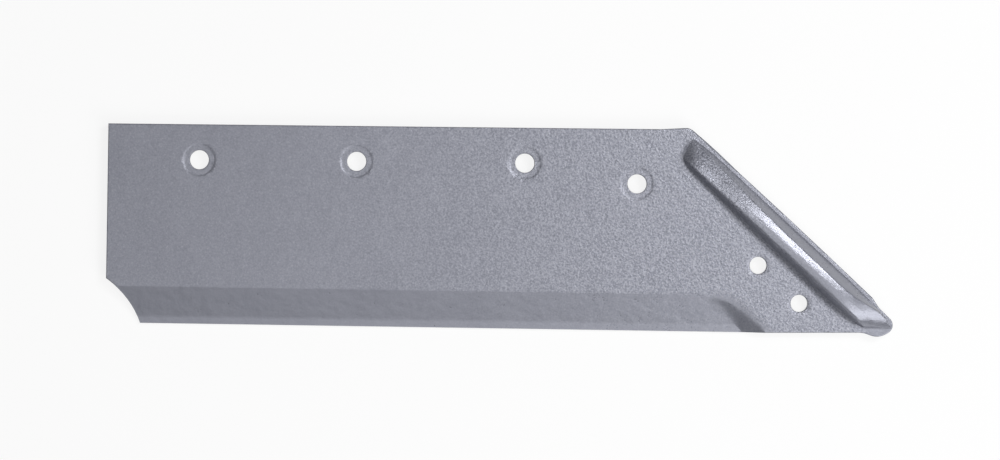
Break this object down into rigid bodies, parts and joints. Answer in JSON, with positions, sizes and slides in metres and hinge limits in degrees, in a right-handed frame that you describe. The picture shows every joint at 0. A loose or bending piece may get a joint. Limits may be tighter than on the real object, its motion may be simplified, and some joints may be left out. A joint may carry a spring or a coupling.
{
  "type": "plough share",
  "caption": "Left-hand plough share: flat plate with a bevelled cutting edge, a notched heel corner, countersunk bolt holes and a forged rib along its slanted landside edge.",
  "frame": {"origin": "centre of the outline's bounding box, on the wear face", "axes": "+X from the heel edge to the nose along the cutting edge, +Y from the cutting edge to the top edge, +Z from the wear face to the back that seats on the frog"},
  "size_m": [0.5119, 0.1338, 0.024],
  "materials": {
    "grey_paint": "satin"
  },
  "bodies": {
    "root": {"plough_share": "grey_paint"}
  },
  "joints": []
}
